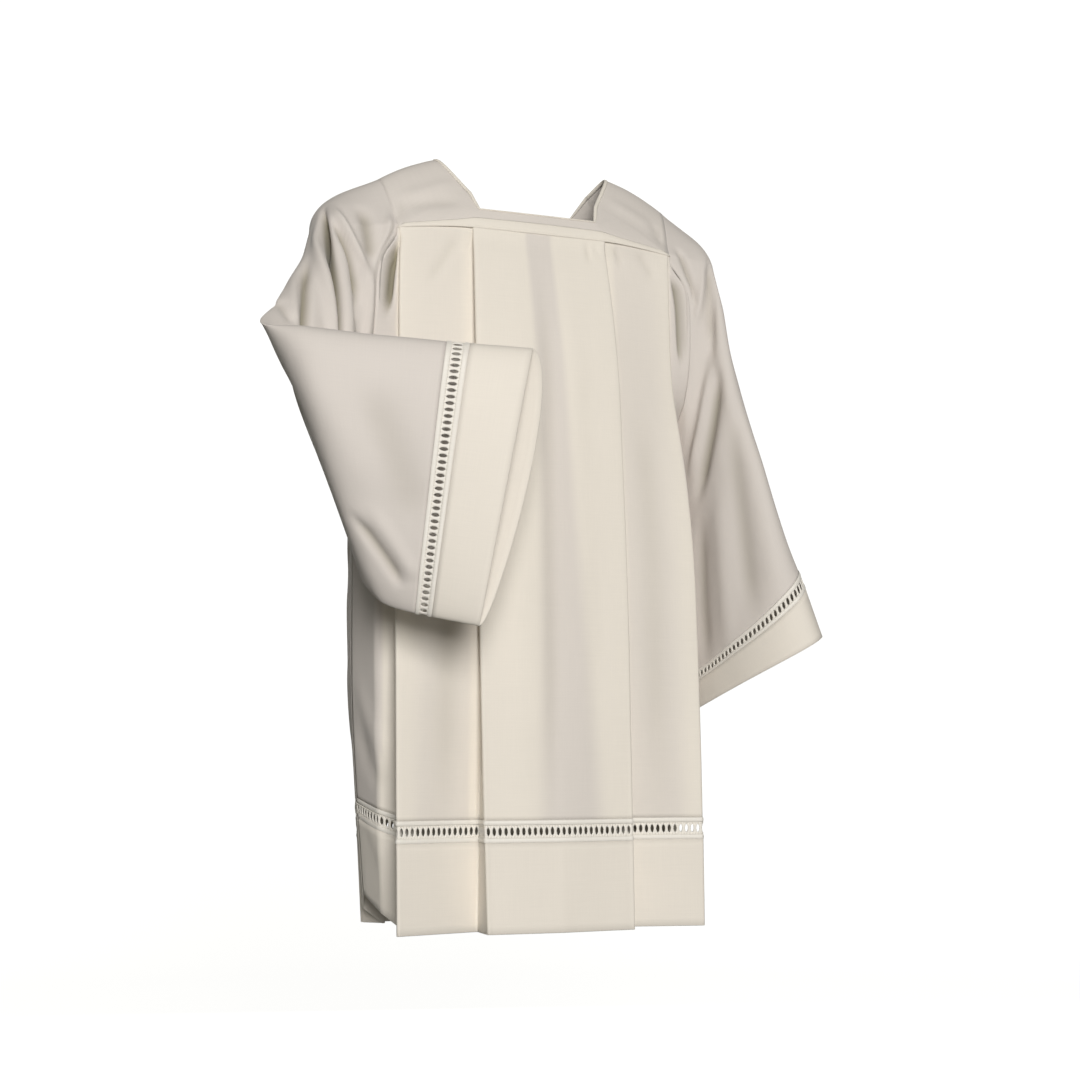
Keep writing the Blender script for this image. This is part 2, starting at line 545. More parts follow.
def body_outward(grid):
    """The way out of the body, the same for every layer of a pleat."""
    sideways = grid[..., 0] / OUTWARD_WIDTH
    forward = (grid[..., 1] - BODY_CENTRE[1]) / OUTWARD_DEPTH
    return unit(np.stack([sideways, forward, np.zeros_like(forward)], axis=-1))


# ================================================================ the yoke's form
def yoke_station(place):
    """The neck point and the outer point of half the yoke, at a place counted in stations."""
    i = int(min(math.floor(place), len(YOKE) - 2))
    s = place - i
    pair = []
    for column in (1, 2):
        points = [np.array(row[column]) for row in YOKE]
        if FIRST_CURVED <= i < LAST_CURVED:
            curved = points[FIRST_CURVED : LAST_CURVED + 1]
            pair.append(round_through(curved, place - FIRST_CURVED))
        else:
            pair.append(points[i] + (points[i + 1] - points[i]) * s)
    if i == FIRST_CURVED - 1:
        pair[1][2] = FRONT_SEAM_Z - seam_drop(pair[1][0])
    if i == LAST_CURVED:
        pair[1][2] = BACK_SEAM_Z - seam_drop(pair[1][0])
    return pair


def yoke_places(first, last):
    """Places between two stations, counted in stations."""
    places = []
    for i in range(first, last):
        places += [i + k / YOKE[i][3] for k in range(YOKE[i][3])]
    return places + [float(last)]


def yoke_line(places, across_of):
    """Matching lines on the yoke's left and right, at a share of its width for each place."""
    points = []
    for place in places:
        neck, outer = yoke_station(place)
        across = across_of(neck, outer)
        p = neck + (outer - neck) * across
        points.append(p + np.array([0.0, 0.0, YOKE_RISE * 4 * across * (1 - across)]))
    left = np.array(points)
    right = left * np.array([-1.0, 1.0, 1.0])
    return left, right


def yoke_loop(across_of):
    """A closed line round the yoke."""
    left, right = yoke_line(yoke_places(0, len(YOKE) - 1), across_of)
    return np.concatenate([left, right[1:-1][::-1]])


def yoke_band(first, last, across_of):
    """A line across the front or the back of the yoke, from the wearer's right to left."""
    left, right = yoke_line(yoke_places(first, last), across_of)
    if first == 0:
        return np.concatenate([right[::-1], left[1:]])
    return np.concatenate([right, left[::-1][1:]])


# ================================================================ the sleeves' form
def armhole_path(side):
    """The armhole's edge: from the shoulder down the front to the underarm and up the back."""
    steps = YOKE[SHOULDER][3]
    front_top = [yoke_station(SHOULDER - k / steps)[1] for k in range(steps)]
    front_heights = np.linspace(FRONT_CORNER_Z, UNDERARM_Z, EDGE_POINTS)
    back_heights = np.linspace(UNDERARM_Z, BACK_CORNER_Z, EDGE_POINTS)
    front_side = [np.array([*edge_point(FRONT_EDGE, z), z]) for z in front_heights]
    back_side = [np.array([*edge_point(BACK_EDGE, z), z]) for z in back_heights]
    back_top = [yoke_station(LAST_CURVED - k / steps)[1] for k in range(1, steps)]
    path = np.array(front_top + front_side + back_side[1:] + back_top)
    return path * np.array([side, 1.0, 1.0])


def spread_evenly(path, count):
    """Points at even distances round a closed path."""
    closed = np.concatenate([path, path[:1]])
    run = run_along(closed)
    wanted = np.linspace(0, run[-1], count, endpoint=False)
    return np.stack([np.interp(wanted, run, closed[:, k]) for k in range(3)], axis=1)


def ring_shape(top, bottom, headings, front_bulge, back_bulge, lift):
    """A hanging ring of cloth between its highest and lowest points."""
    top = np.array(top)
    bottom = np.array(bottom)
    turn = np.linspace(0, 2 * math.pi, SLEEVE_POINTS, endpoint=False)[:, None]
    radians = [math.radians(heading) for heading in headings]
    front, back = [np.array([math.cos(a), math.sin(a), 0.0]) for a in radians]
    swell = np.sin(turn) * (1 + TOP_HEAVY * np.cos(turn))
    outward = np.where(swell > 0, front * front_bulge, -back * back_bulge)
    up = np.array([0.0, 0.0, lift])
    return (top + bottom) / 2 + (top - bottom) / 2 * np.cos(turn) + outward * swell + up * np.sin(turn)


def sleeve_rings(table, side):
    armhole = spread_evenly(armhole_path(side), SLEEVE_POINTS)
    return [ring.reshape(-1) for ring in [armhole] + [ring_shape(*row[1:]) for row in table]]


def sleeve_grid(rings, places):
    return np.array([round_through(rings, place).reshape(-1, 3) for place in places])


def sleeve_place(rings, from_cuff):
    """The place whose top lies a given length of cloth from the cuff's edge."""
    last = len(rings) - 1.0
    places = np.linspace(last, last - SEARCHED_RINGS, 81)
    tops = np.array([round_through(rings, place).reshape(-1, 3)[0] for place in places])
    return float(np.interp(from_cuff, run_along(tops), places))


# ================================================================ creases
def grid_normals(grid, closed):
    """The outward direction at every point of a grid."""
    down = np.gradient(grid, axis=0)
    if closed:
        across = np.roll(grid, -1, axis=1) - np.roll(grid, 1, axis=1)
    else:
        across = np.gradient(grid, axis=1)
    return unit(np.cross(across, down))


def faced(normals, grid, centre):
    """The normals turned to point away from a centre line."""
    wrong = np.sum(normals * (grid - centre), axis=-1).mean() < 0
    return -normals if wrong else normals


def crease_line(start, middle, end):
    """Points along a crease through its three places."""
    steps = np.linspace(0, 1, CREASE_STEPS)[:, None]
    start = np.array(start)
    end = np.array(end)
    pull = 2 * np.array(middle) - (start + end) / 2
    return start * (1 - steps) ** 2 + pull * 2 * steps * (1 - steps) + end * steps**2


def laid_creases(grid, creases):
    """The creases as lines that follow the cloth of a whole piece."""
    points = grid.reshape(-1, 3)
    laid = []
    for _, start, middle, end, width, depth in creases:
        line = crease_line(start, middle, end) * MILLIMETRE
        near = np.linalg.norm(points[None, :, :] - line[:, None, :], axis=2).argmin(axis=1)
        off = points[near] - line
        for _ in range(EASING):
            off[1:-1] = (off[:-2] + off[1:-1] * 2 + off[2:]) / 4
        laid.append((line + off, width * MILLIMETRE, depth * MILLIMETRE))
    return laid


def near_line(points, line):
    """How far each point is from a line, and at which share of the line it is nearest."""
    step = np.diff(line, axis=0)
    offset = points[:, None, :] - line[:-1]
    share = np.clip((offset * step).sum(axis=2) / (step**2).sum(axis=1), 0, 1)
    away = np.linalg.norm(offset - share[..., None] * step, axis=2)
    best = away.argmin(axis=1)
    each = np.arange(len(best))
    return away[each, best], (best + share[each, best]) / len(step)


def crease_push(grid, laid):
    """How far the hand-laid creases push each point out."""
    points = grid.reshape(-1, 3)
    push = np.zeros(len(points))
    for line, width, depth in laid:
        middle = line[CREASE_STEPS // 2]
        reach = CREASE_REACH * run_along(line)[-1] + CREASE_EDGE * width
        reached = np.linalg.norm(points - middle, axis=1) < reach
        away, share = near_line(points[reached], line)
        fade = smooth(np.minimum(share, 1 - share) / CREASE_TAPER)
        push[reached] += depth * fade * np.exp(-((away / width) ** 2))
    return push.reshape(grid.shape[:2])


def soft_push(grid):
    """Gentle unevenness of hanging cloth."""
    push = np.zeros(grid.shape[:2])
    for i, row in enumerate(grid):
        for k, (x, y, z) in enumerate(row):
            for often, down, reach in SOFTNESS:
                push[i, k] += reach * noise.noise(Vector((x * often, y * often, z * down + often)))
    return push


def creased(grid, outward, laid, calm):
    """The grid with its creases and softness, and how deep in a trough each point is.

    calm is 0 at a seam and 1 away from it.
    """
    folds = crease_push(grid, laid) * calm
    push = folds + soft_push(grid) * calm
    return grid + outward * push[..., None], smooth(-folds / CREASE_TONE)


# ================================================================ meshes
def object_of(name, data, cloth):
    data.materials.append(cloth)
    piece = bpy.data.objects.new(name, data)
    bpy.context.scene.collection.objects.link(piece)
    data.shade_smooth()
    return piece


def grid_mesh(name, grid, closed, thin=None, trough=None):
    """Quads over a grid, with the cut in metres as UV, how thin the cloth looks and its troughs."""
    rows, width = grid.shape[:2]
    columns = width if closed else width - 1
    middle = grid[rows // 2]
    around = np.concatenate([middle, middle[:1]]) if closed else middle
    u = run_along(around)
    v = run_along(grid[:, 0])
    faces = []
    corners = []
    for i in range(rows - 1):
        for k in range(columns):
            n = (k + 1) % width
            faces.append((i * width + k, (i + 1) * width + k, (i + 1) * width + n, i * width + n))
            corners += [(u[k], v[i]), (u[k], v[i + 1]), (u[k + 1], v[i + 1]), (u[k + 1], v[i])]
    data = bpy.data.meshes.new(name)
    data.from_pydata([tuple(p) for p in grid.reshape(-1, 3)], [], faces)
    cut = data.uv_layers.new(name="cut")
    cut.data.foreach_set("uv", np.array(corners, np.float32).ravel())
    for word, field, plain in (("thin", thin, 1.0), ("trough", trough, 0.0)):
        values = np.full(rows * width, plain) if field is None else field.reshape(-1)
        data.attributes.new(word, "FLOAT", "POINT").data.foreach_set("value", values.astype(np.float32))
    data.update()
    return data


def thicken(piece, thickness):
    solid = piece.modifiers.new("layer", "SOLIDIFY")
    solid.thickness = thickness
    solid.offset = 0.0
    solid.use_even_offset = False
    return piece


def place(piece, slot, *nodes):
    """Rides on the one body, and stands for its CAD nodes."""
    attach(piece, "root")
    if nodes:
        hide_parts(*nodes)
    return piece


def joined(name, parts, cloth):
    """One object from many small lists of points and faces."""
    points = []
    faces = []
    for part_points, part_faces in parts:
        base = len(points)
        points += [tuple(p) for p in part_points]
        faces += [tuple(base + i for i in face) for face in part_faces]
    data = bpy.data.meshes.new(name)
    data.from_pydata(points, [], faces)
    data.update()
    return object_of(name, data, cloth)


# ================================================================ materials
class Nodes:
    """A short way to wire a material's nodes."""

    def __init__(self, name):
        self.material = bpy.data.materials.new(name)
        self.material.use_nodes = True
        self.tree = self.material.node_tree
        self.surface = self.tree.nodes["Principled BSDF"]

    def add(self, kind, **settings):
        node = self.tree.nodes.new(kind)
        for key, value in settings.items():
            setattr(node, key, value)
        return node

    def link(self, source, target):
        self.tree.links.new(source, target)

    def math(self, operation, first, second=None):
        node = self.add("ShaderNodeMath", operation=operation)
        for slot, value in enumerate((first, second)):
            if value is None:
                continue
            if isinstance(value, (int, float)):
                node.inputs[slot].default_value = value
            else:
                self.link(value, node.inputs[slot])
        return node.outputs[0]

    def noise(self, vector, scale, detail=2.0):
        node = self.add("ShaderNodeTexNoise")
        node.inputs["Scale"].default_value = scale
        node.inputs["Detail"].default_value = detail
        self.link(vector, node.inputs["Vector"])
        return node.outputs["Fac"]

    def stretched(self, vector, scale):
        node = self.add("ShaderNodeMapping")
        node.inputs["Scale"].default_value = scale
        self.link(vector, node.inputs["Vector"])
        return node.outputs["Vector"]

    def fix(self, **values):
        """Sets sockets of the surface that are the same all over."""
        for word, value in values.items():
            self.surface.inputs[word.replace("_", " ")].default_value = value

    def shaded(self, colour, shade):
        """A colour made lighter or darker by a number."""
        grey = self.add("ShaderNodeCombineColor")
        for channel in range(3):
            self.link(shade, grey.inputs[channel])
        return self.mix(1.0, colour, grey.outputs[0], "MULTIPLY")

    def relief(self, height, strength, distance):
        bump = self.add("ShaderNodeBump")
        bump.inputs["Strength"].default_value = strength
        bump.inputs["Distance"].default_value = distance
        self.link(height, bump.inputs["Height"])
        self.link(bump.outputs[0], self.surface.inputs["Normal"])

    def mix(self, factor, first, second, blend="MIX"):
        node = self.add("ShaderNodeMix", data_type="RGBA", blend_type=blend)
        for slot, value in ((0, factor), (6, first), (7, second)):
            if isinstance(value, tuple):
                node.inputs[slot].default_value = (*value, 1.0)
            elif isinstance(value, (int, float)):
                node.inputs[slot].default_value = value
            else:
                self.link(value, node.inputs[slot])
        return node.outputs[2]


def cloth_material(name, thick, thin, roughness, sheen, pitch, relief):
    """Fine plain weave with slubs, paler where it lies double and darker in its deepest folds."""
    n = Nodes(name)
    cut = n.add("ShaderNodeUVMap", uv_map="cut").outputs["UV"]
    split = n.add("ShaderNodeSeparateXYZ")
    n.link(cut, split.inputs[0])
    warp = n.math("SINE", n.math("MULTIPLY", split.outputs[0], 2 * math.pi / pitch))
    weft = n.math("SINE", n.math("MULTIPLY", split.outputs[1], 2 * math.pi / pitch))
    weave = n.math("MULTIPLY", warp, weft)
    long_slubs = n.noise(n.stretched(cut, (900.0, 26.0, 1.0)), 1.0)
    cross_slubs = n.noise(n.stretched(cut, (22.0, 900.0, 1.0)), 1.0)
    slubs = n.math("ADD", long_slubs, cross_slubs)
    broad = n.noise(n.add("ShaderNodeTexCoord").outputs["Object"], 7.0, 3.0)
    layers = n.add("ShaderNodeAttribute", attribute_name="thin").outputs["Fac"]
    troughs = n.add("ShaderNodeAttribute", attribute_name="trough").outputs["Fac"]
    colour = n.mix(layers, thick, thin)
    colour = n.mix(troughs, colour, n.mix(1.0, colour, TROUGH_TINT, "MULTIPLY"))
    tone = n.math("ADD", n.math("MULTIPLY", slubs, 0.050), n.math("MULTIPLY", broad, 0.050))
    n.link(n.shaded(colour, n.math("ADD", tone, 0.925)), n.surface.inputs["Base Color"])
    n.link(n.math("ADD", n.math("MULTIPLY", long_slubs, 0.12), roughness), n.surface.inputs["Roughness"])
    n.relief(n.math("ADD", weave, n.math("MULTIPLY", slubs, 1.6)), relief, 0.00012)
    n.fix(Sheen_Weight=sheen, Sheen_Roughness=0.5, Specular_IOR_Level=0.25)
    return n.material


def satin_material():
    """Close shiny threads laid across a border."""
    n = Nodes("satin thread")
    cut = n.add("ShaderNodeUVMap", uv_map="cut").outputs["UV"]
    split = n.add("ShaderNodeSeparateXYZ")
    n.link(cut, split.inputs[0])
    threads = n.math("SINE", n.math("MULTIPLY", split.outputs[0], 2 * math.pi / SATIN_THREAD_PITCH))
    uneven = n.noise(n.stretched(cut, (700.0, 60.0, 1.0)), 1.0)
    shade = n.math("ADD", n.math("MULTIPLY", uneven, 0.10), 0.93)
    n.link(n.shaded(SATIN_COLOUR, shade), n.surface.inputs["Base Color"])
    n.link(n.math("ADD", n.math("MULTIPLY", uneven, 0.2), 0.30), n.surface.inputs["Roughness"])
    n.relief(n.math("ADD", threads, uneven), 0.35, 0.00015)
    n.fix(Sheen_Weight=0.3, Anisotropic=0.4)
    return n.material


def thread_material():
    """Twisted sewing thread."""
    n = Nodes("sewing thread")
    twist = n.noise(n.add("ShaderNodeTexCoord").outputs["Object"], 1800.0, 1.0)
    n.link(n.mix(twist, THREAD_COLOUR, SATIN_COLOUR), n.surface.inputs["Base Color"])
    n.relief(twist, 0.4, 0.0001)
    n.fix(Roughness=0.55, Sheen_Weight=0.3)
    return n.material


CREAM = cloth_material(
    "cream cloth", THICK_CREAM, THIN_CREAM, roughness=0.72, sheen=0.18, pitch=0.0007, relief=0.30
)
NET = cloth_material(
    "openwork net", SATIN_COLOUR, SATIN_COLOUR, roughness=0.55, sheen=0.20, pitch=0.0009, relief=0.45
)
SATIN = satin_material()
THREAD = thread_material()


# ================================================================ openwork
class Strip:
    """A band of cloth that can be laid out in metres: along it, and across it from its middle."""

    def __init__(self, grid, normals, closed):
        if closed:
            grid = np.concatenate([grid, grid[:, :1]], axis=1)
            normals = np.concatenate([normals, normals[:, :1]], axis=1)
        self.grid = grid
        self.normals = normals
        self.closed = closed
        self.run = run_along(grid[len(grid) // 2])
        self.length = self.run[-1]
        heights = np.linalg.norm(np.diff(grid, axis=0), axis=2).sum(axis=0)
        self.height = float(heights.mean())

    def at(self, along, across, lift):
        """Points at distances along and across the band, lifted off it."""
        along = np.mod(along, self.length) if self.closed else np.clip(along, 0, self.length)
        rows = len(self.grid) - 1
        row = np.clip((across / self.height + 0.5) * rows, 0, rows)
        low = np.minimum(row.astype(int), rows - 1)
        part = (row - low)[..., None]
        column = np.clip(np.searchsorted(self.run, along, side="right") - 1, 0, len(self.run) - 2)
        gap = self.run[column + 1] - self.run[column]
        s = ((along - self.run[column]) / np.maximum(gap, 1e-9))[..., None]

        def blend(field):
            upper = field[low, column] * (1 - s) + field[low, column + 1] * s
            lower = field[low + 1, column] * (1 - s) + field[low + 1, column + 1] * s
            return upper * (1 - part) + lower * part

        return blend(self.grid) + unit(blend(self.normals)) * np.asarray(lift)[..., None]


def net_mesh(name, strip):
    """The row of pointed holes between the borders, with rounded bars."""
    count = max(round(strip.length / HOLE_PITCH), 1)
    pitch = strip.length / count
    edge = strip.height / 2
    inner = np.linspace(-1, 1, 11) * HOLE_HALF_HEIGHT
    across = np.concatenate([[-edge, -NET_HALF], inner, [NET_HALF, edge]])
    share = np.clip(1 - (across / HOLE_HALF_HEIGHT) ** 2, 0.0, 1.0)
    half = HOLE_HALF_WIDTH * pitch / HOLE_PITCH * share**HOLE_POINTED
    bar = BAR_RISE * np.clip(share * 3, 0, 1)
    points = []
    cut = []
    for i in range(count + 1):
        start = i * pitch
        middle = start + pitch / 2
        columns = (
            (np.full_like(across, start), bar),
            (start + (pitch / 2 - half) * 0.55, bar * 0.7),
            (middle - half, bar * 0),
            (middle + half, bar * 0),
            (middle + half + (pitch / 2 - half) * 0.45, bar * 0.7),
        )
        for along, lift in columns[: 1 if i == count else 5]:
            points.append(strip.at(along, across, lift))
            cut.append(np.stack([along, across], axis=1))
    if strip.closed:
        points.pop()
        cut.pop()
    width = len(across)
    columns = len(points)
    faces = []
    for i in range(count):
        for c in range(5):
            if c == 2:
                continue
            a = (i * 5 + c) * width
            b = ((i * 5 + c + 1) % columns if strip.closed else i * 5 + c + 1) * width
            faces += [(a + j, a + j + 1, b + j + 1, b + j) for j in range(width - 1)]
    data = bpy.data.meshes.new(name)
    mesh = bmesh.new()
    layer = mesh.loops.layers.uv.new("cut")
    where = np.concatenate(cut)
    verts = [mesh.verts.new(p) for p in np.concatenate(points)]
    for face in faces:
        made = mesh.faces.new([verts[i] for i in face])
        for loop, i in zip(made.loops, face):
            loop[layer].uv = where[i]
    bmesh.ops.remove_doubles(mesh, verts=mesh.verts, dist=0.00002)
    mesh.to_mesh(data)
    mesh.free()
    return data


def border_grid(strip, side):
    """A raised satin border along one edge of the openwork, with a rounded section."""
    q = np.linspace(0, 1, 7)
    across = side * (strip.height / 2 + 0.0004 - q * BORDER_WIDTH)
    lift = LAYER / 2 + 0.0001 + BORDER_RISE * np.sin(math.pi * q) ** 0.6
    along = strip.run[:-1] if strip.closed else strip.run
    flat = np.ones_like(along)
    return np.array([strip.at(along, flat * a, flat * h) for a, h in zip(across, lift)])


def bead(strip, along, across):
    """A tiny raised stitch: a low dome."""
    turn = np.linspace(0, 2 * math.pi, 6, endpoint=False)
    rings = ((1.0, 0.0002), (0.7, 0.0007))
    parts = []
    for size, lift in rings:
        a = along + np.cos(turn) * BEAD_RADIUS * size
        c = across + np.sin(turn) * BEAD_RADIUS * size
        parts.append(strip.at(a, c, np.full_like(a, LAYER / 2 + lift)))
    top = strip.at(np.array([along]), np.array([across]), np.array([LAYER / 2 + 0.0009]))
    points = np.concatenate(parts + [top])
    sides = [(k, (k + 1) % 6, 6 + (k + 1) % 6, 6 + k) for k in range(6)]
    caps = [(6 + k, 6 + (k + 1) % 6, 12) for k in range(6)]
    return points, sides + caps


def openwork(tag, grid, normals, closed):
    """The whole insertion: net, two satin borders and two rows of beads."""
    node = f"openwork_{tag}"
    strip = Strip(grid, normals, closed)
    net = object_of(f"openwork_net_{tag}", net_mesh(f"openwork_net_{tag}", strip), NET)
    thicken(net, LAYER * 0.8)
    place(net, "satin_openwork", node)
    for word, side in (("upper", -1), ("lower", 1)):
        name = f"satin_border_{word}_{tag}"
        ribbon = grid_mesh(name, border_grid(strip, side), closed)
        place(thicken(object_of(name, ribbon, SATIN), RIBBON_LAYER), "satin_openwork")
    beads = []
    for across in (-BEAD_AWAY, BEAD_AWAY):
        for along in np.arange(BEAD_PITCH / 2, strip.length, BEAD_PITCH):
            beads.append(bead(strip, along, across))
    row = place(joined(f"openwork_stitches_{tag}", beads, THREAD), "satin_openwork")


# ================================================================ stitches
def stitch_row(path, normals, name, slot):
    """A row of short stitches along a path, lying on the cloth."""
    run = run_along(path)
    parts = []
    for start in np.arange(0.002, run[-1] - STITCH_LENGTH, STITCH_PITCH):
        ends = [start, start + STITCH_LENGTH]
        a, b = (np.array([np.interp(e, run, path[:, k]) for k in range(3)]) for e in ends)
        up = unit(np.array([np.interp(start, run, normals[:, k]) for k in range(3)]))
        along = unit(b - a)
        sideways = np.cross(up, along)
        points = [a - up * STITCH_RADIUS * 0.6]
        for share in (0.25, 0.75):
            middle = a + (b - a) * share
            for k in range(6):
                turn = math.pi * k / 3
                points.append(middle + (sideways * math.cos(turn) + up * math.sin(turn)) * STITCH_RADIUS)
        points.append(b - up * STITCH_RADIUS * 0.6)
        faces = [(0, 1 + (k + 1) % 6, 1 + k) for k in range(6)]
        faces += [(1 + k, 1 + (k + 1) % 6, 7 + (k + 1) % 6, 7 + k) for k in range(6)]
        faces += [(13, 7 + k, 7 + (k + 1) % 6) for k in range(6)]
        parts.append((points, faces))
    return place(joined(name, parts, THREAD), slot)


def body_calm(grid):
    """0 at the yoke seam and the side seam, 1 away from them."""
    from_edge = np.linalg.norm(np.diff(grid, axis=1), axis=2)
    left = np.cumsum(from_edge[:, ::-1], axis=1)[:, ::-1]
    right = np.cumsum(from_edge, axis=1)
    zeros = np.zeros((len(grid), 1))
    near = np.minimum(np.concatenate([left, zeros], axis=1), np.concatenate([zeros, right], axis=1))
    return smooth(near / SEAM_CALM)


def body_thin(grid):
    """1 where one layer hangs alone, 0 where a pleat lies behind it."""
    x = grid[..., 0]
    across = np.abs(x)
    level = np.clip((-grid[..., 2] - THIN_TOP) / THIN_HEIGHT, 0.0, 1.0)
    half = MIDDLE_HALF + MIDDLE_GROWTH * level**2
    blur = MIDDLE_BLUR + MIDDLE_BLUR_GROWTH * level
    centre = MIDDLE_X + MIDDLE_DRIFT * level
    middle = smooth((half + blur / 2 - np.abs(x - centre)) / blur) * MIDDLE_TONE
    outer_blur = PANEL_OUTER_BLUR - PANEL_OUTER_SHARPER * level
    panel = smooth((across - PANEL_INNER) / PANEL_INNER_BLUR) * smooth((PANEL_OUTER - across) / outer_blur)
    left_tone = LEFT_PANEL_TONE[0] + LEFT_PANEL_TONE[1] * level
    right_tone = RIGHT_PANEL_TONE[0] + RIGHT_PANEL_TONE[1] * level
    low = smooth((-grid[..., 2] - SIDE_DRIFT_TOP) / SIDE_DRIFT_HEIGHT)
    side = smooth((across - SIDE_INNER - SIDE_DRIFT * low) / SIDE_BLUR)
    return np.maximum.reduce([middle, panel * np.where(x > 0, left_tone, right_tone), side])


def turned_hem(tag, grid, outward, closed):
    """A hem of two layers: down the outside, round its fold, and up the inside."""
    fold = grid[-1:] + (grid[-1:] - grid[-2:-1]) * (HEM_FOLD / HEM_HEIGHT * len(grid))
    outer = grid + outward * HEM_APART
    inner = (grid - outward * HEM_APART)[::-1]
    turned = np.concatenate([outer, fold, inner])
    data = grid_mesh(f"{tag}_hem", turned, closed, np.full(turned.shape[:2], HEM_TONE))
    piece = object_of(f"{tag}_hem", data, CREAM)
    place(thicken(piece, HEM_LAYER), "cream_cloth", f"hem_{tag}")


def body_side(tag, folds, edge, creases):
    """The front or the back, with its openwork and its turned hem."""
    band_top = HEM_Z + HEM_HEIGHT + BAND_HEIGHT
    band_bottom = HEM_Z + HEM_HEIGHT
    top = panel_top(folds)
    laid = laid_creases(body_grid(folds, edge, top, HEM_Z, BODY_ROWS), creases)

    def stretch(first, last, count):
        grid = body_grid(folds, edge, first, last, count)
        outward = body_outward(grid)
        seam = np.maximum(top - 0.0005 - grid[..., 2], 0.0)
        calm = body_calm(grid) * smooth(seam / SEAM_CALM)
        return *creased(grid, outward, laid, calm), outward

    panel, trough, outward = stretch(top, band_top, BODY_ROWS)
    tucked = panel[:1] + np.array([0.0, 0.0, TUCK_UNDER * 0.5]) - outward[:1] * TUCK_BEHIND
    panel = np.concatenate([tucked, panel])
    trough = np.concatenate([trough[:1], trough])
    thin = body_thin(panel)
    piece = object_of(f"{tag}_panel", grid_mesh(f"{tag}_panel", panel, False, thin, trough), CREAM)
    place(thicken(piece, LAYER), "cream_cloth", tag)

    band, _, _ = stretch(band_top, band_bottom, BAND_ROWS)
    openwork(tag, band, faced(grid_normals(band, False), band, BODY_CENTRE), False)

    hem, _, outward = stretch(band_bottom, HEM_Z, HEM_ROWS)
    turned_hem(tag, hem, outward, False)


def sleeve(tag, table, side, creases):
    """One sleeve with its openwork and its turned hem."""
    rings = sleeve_rings(table, side)
    cuff = len(rings) - 1.0
    hem_start = sleeve_place(rings, CUFF_HEM)
    band_start = sleeve_place(rings, CUFF_HEM + BAND_HEIGHT)
    laid = laid_creases(sleeve_grid(rings, np.linspace(0.0, cuff, SLEEVE_ROWS)), creases)

    def stretch(first, last, count):
        places = np.linspace(first, last, count)
        grid = sleeve_grid(rings, places)
        normals = faced(grid_normals(grid, True), grid, grid.mean(axis=1, keepdims=True))
        run = np.linalg.norm(grid - sleeve_grid(rings, [0.0]), axis=2)
        return *creased(grid, normals, laid, smooth(run / SEAM_CALM)), normals

    arm, trough, normals = stretch(0.0, band_start, SLEEVE_ROWS)
    inward = np.array([-side * TUCK_UNDER, 0.0, 0.0])
    tucked = arm[:1] + inward - body_outward(arm[:1]) * TUCK_BEHIND
    arm = np.concatenate([tucked, arm])
    trough = np.concatenate([trough[:1], trough])
    piece = object_of(f"{tag}_cloth", grid_mesh(f"{tag}_cloth", arm, True, None, trough), CREAM)
    place(thicken(piece, LAYER), "cream_cloth", tag)

    band, _, normals = stretch(band_start, hem_start, BAND_ROWS)
    openwork(tag, band, normals, True)

    hem, _, normals = stretch(hem_start, cuff, CUFF_ROWS)
    turned_hem(tag, hem, normals, True)


def yoke():
    """The yoke, its neck binding and the binding's stitches."""
    shares = np.linspace(0, 1, YOKE_ROWS)
    grid = np.array([yoke_loop(lambda neck, outer, s=s: s) for s in shares])
    normals = faced(grid_normals(grid, True), grid, YOKE_CENTRE)
    from_neck = np.linalg.norm(grid - grid[:1], axis=2)
    from_seam = np.linalg.norm(grid - grid[-1:], axis=2)
    calm = smooth(from_neck / NECK_CALM) * smooth(from_seam / YOKE_SEAM_CALM)
    grid, trough = creased(grid, normals, laid_creases(grid, YOKE_CREASES), calm)
    thin = np.full(grid.shape[:2], YOKE_TONE)
    piece = object_of("yoke_cloth", grid_mesh("yoke_cloth", grid, True, thin, trough), CREAM)
    place(thicken(piece, LAYER), "cream_cloth", "yoke")

    def lifted(distance, lift):
        """A line round the neck at a distance from its edge."""
        line = yoke_loop(lambda neck, outer: distance / np.linalg.norm(outer - neck))
        return line + normals[0] * lift

    rows = np.array([lifted(*row) for row in BINDING_SECTION])
    data = grid_mesh("neck_binding_cloth", rows, True, np.zeros(rows.shape[:2]))
    binding = object_of("neck_binding_cloth", data, CREAM)
    place(thicken(binding, BINDING_LAYER), "cream_cloth", "neck_binding")
    stitch_row(lifted(*BINDING_STITCHES), normals[0], "neck_binding_stitches", "cream_cloth")


def piping(name, first, last):
    """The raised strip along a yoke seam, between two stations, with its two rows of stitches."""

    def seam_line(distance, lift):
        """A line along the seam at a distance above it."""
        line = yoke_band(first, last, lambda neck, outer: 1 - distance / np.linalg.norm(outer - neck))
        return line + body_outward(line) * lift

    q = np.linspace(0, 1, PIPING_STEPS)
    heights = -PIPING_LAP + q * (PIPING_HEIGHT + 0.0012)
    lifts = PIPING_LIFT + PIPING_CROWN * np.sin(math.pi * q) ** 0.5
    rows = np.array([seam_line(h, lift) for h, lift in zip(heights, lifts)])[::-1]
    data = grid_mesh(f"{name}_cloth", rows, False, np.zeros(rows.shape[:2]))
    strip = object_of(f"{name}_cloth", data, CREAM)
    place(thicken(strip, TRIM_LAYER), "cream_cloth", name)
    for word, height in (("lower", LOWER_STITCHES), ("upper", UPPER_STITCHES)):
        line = seam_line(height, PIPING_STITCH_LIFT)
        stitch_row(line, body_outward(line), f"{name}_{word}_stitches", "cream_cloth")


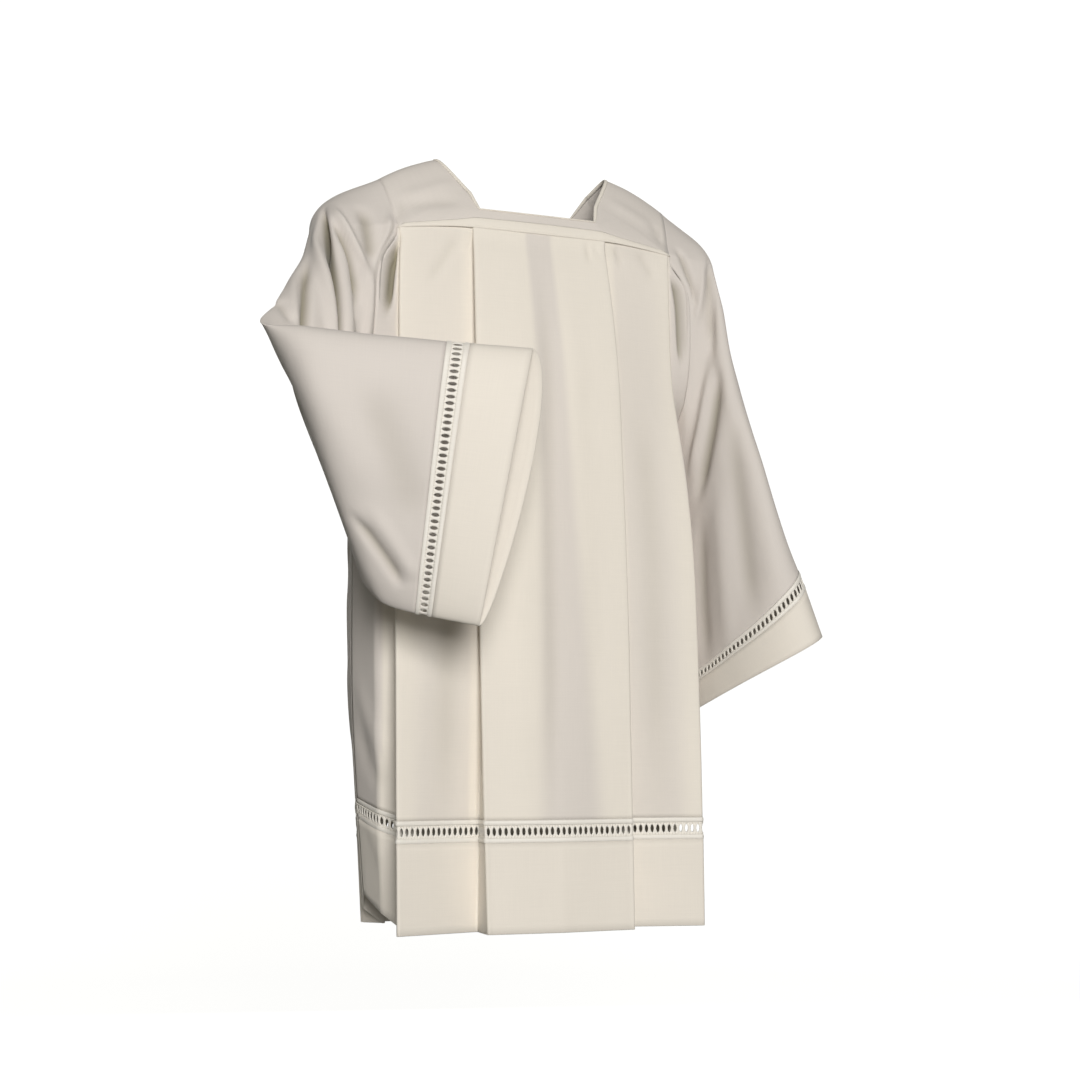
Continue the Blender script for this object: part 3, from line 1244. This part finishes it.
# ================================================================ the stage
def floor_and_backdrop():
    """A pale round floor that curves up into a wall on every side."""
    profile = [(0.0, 0.0), (1.5, 0.0), (3.2, 0.0), (FLOOR_RADIUS, 0.0)]
    for a in np.linspace(0.15, math.pi / 2, 10):
        profile.append((FLOOR_RADIUS + WALL_BEND * math.sin(a), WALL_BEND * (1 - math.cos(a))))
    profile += [(FLOOR_RADIUS + WALL_BEND, 4.0), (FLOOR_RADIUS + WALL_BEND, WALL_TOP)]
    turn = np.linspace(0, 2 * math.pi, 96, endpoint=False)
    rows = []
    for radius, height in profile:
        level = np.full_like(turn, FLOOR_Z + height)
        rows.append(np.stack([radius * np.cos(turn), radius * np.sin(turn), level], axis=1))
    floor = object_of("studio_floor", grid_mesh("studio_floor", np.array(rows), True), floor_material())
    floor.visible_diffuse = False
    floor.visible_glossy = False


def floor_material():
    n = Nodes("studio paper")
    grain = n.noise(n.add("ShaderNodeTexCoord").outputs["Object"], 3.0)
    n.link(n.mix(grain, FLOOR_COLOUR, FLOOR_GRAIN_COLOUR), n.surface.inputs["Base Color"])
    n.fix(Roughness=0.9, Specular_IOR_Level=0.1)
    n.fix(Emission_Color=FLOOR_GLOW, Emission_Strength=FLOOR_GLOW_STRENGTH)
    return n.material


def softbox(name, azimuth, elevation, distance, size, power, colour):
    """A square soft light aimed at the middle of the garment."""
    data = bpy.data.lights.new(name, "AREA")
    data.shape = "SQUARE"
    data.size = size
    data.energy = power
    data.color = colour
    lamp = bpy.data.objects.new(name, data)
    bpy.context.scene.collection.objects.link(lamp)
    a = math.radians(azimuth)
    e = math.radians(elevation)
    back = Vector((math.sin(a) * math.cos(e), -math.cos(a) * math.cos(e), math.sin(e)))
    lamp.location = Vector(AIM) + back * distance
    lamp.rotation_euler = back.to_track_quat("Z", "Y").to_euler()


def lights_and_camera():
    for row in SOFTBOXES:
        softbox(*row)
    world = bpy.data.worlds.new("studio air")
    world.use_nodes = True
    world.node_tree.nodes["Background"].inputs["Color"].default_value = AIR_COLOUR
    world.node_tree.nodes["Background"].inputs["Strength"].default_value = AIR_STRENGTH
    bpy.context.scene.world = world
    bpy.context.scene.view_settings.view_transform = "Standard"
    data = bpy.data.cameras.new("camera")
    data.sensor_width = 36.0
    data.lens = CAMERA_LENS
    camera = bpy.data.objects.new("camera", data)
    camera.location = CAMERA_PLACE
    camera.rotation_euler = (math.radians(90 + CAMERA_PITCH), 0.0, math.radians(CAMERA_AZIMUTH))
    bpy.context.scene.collection.objects.link(camera)
    bpy.context.scene.camera = camera


yoke()
piping("front_piping", 0, 2)
piping("back_piping", 4, 6)
body_side("front", FRONT_FOLDS, FRONT_EDGE, FRONT_CREASES)
body_side("back", BACK_FOLDS, BACK_EDGE, BACK_CREASES)
sleeve("right_sleeve", RIGHT_SLEEVE, -1, RIGHT_SLEEVE_CREASES)
sleeve("left_sleeve", LEFT_SLEEVE, 1, LEFT_SLEEVE_CREASES)
floor_and_backdrop()
lights_and_camera()
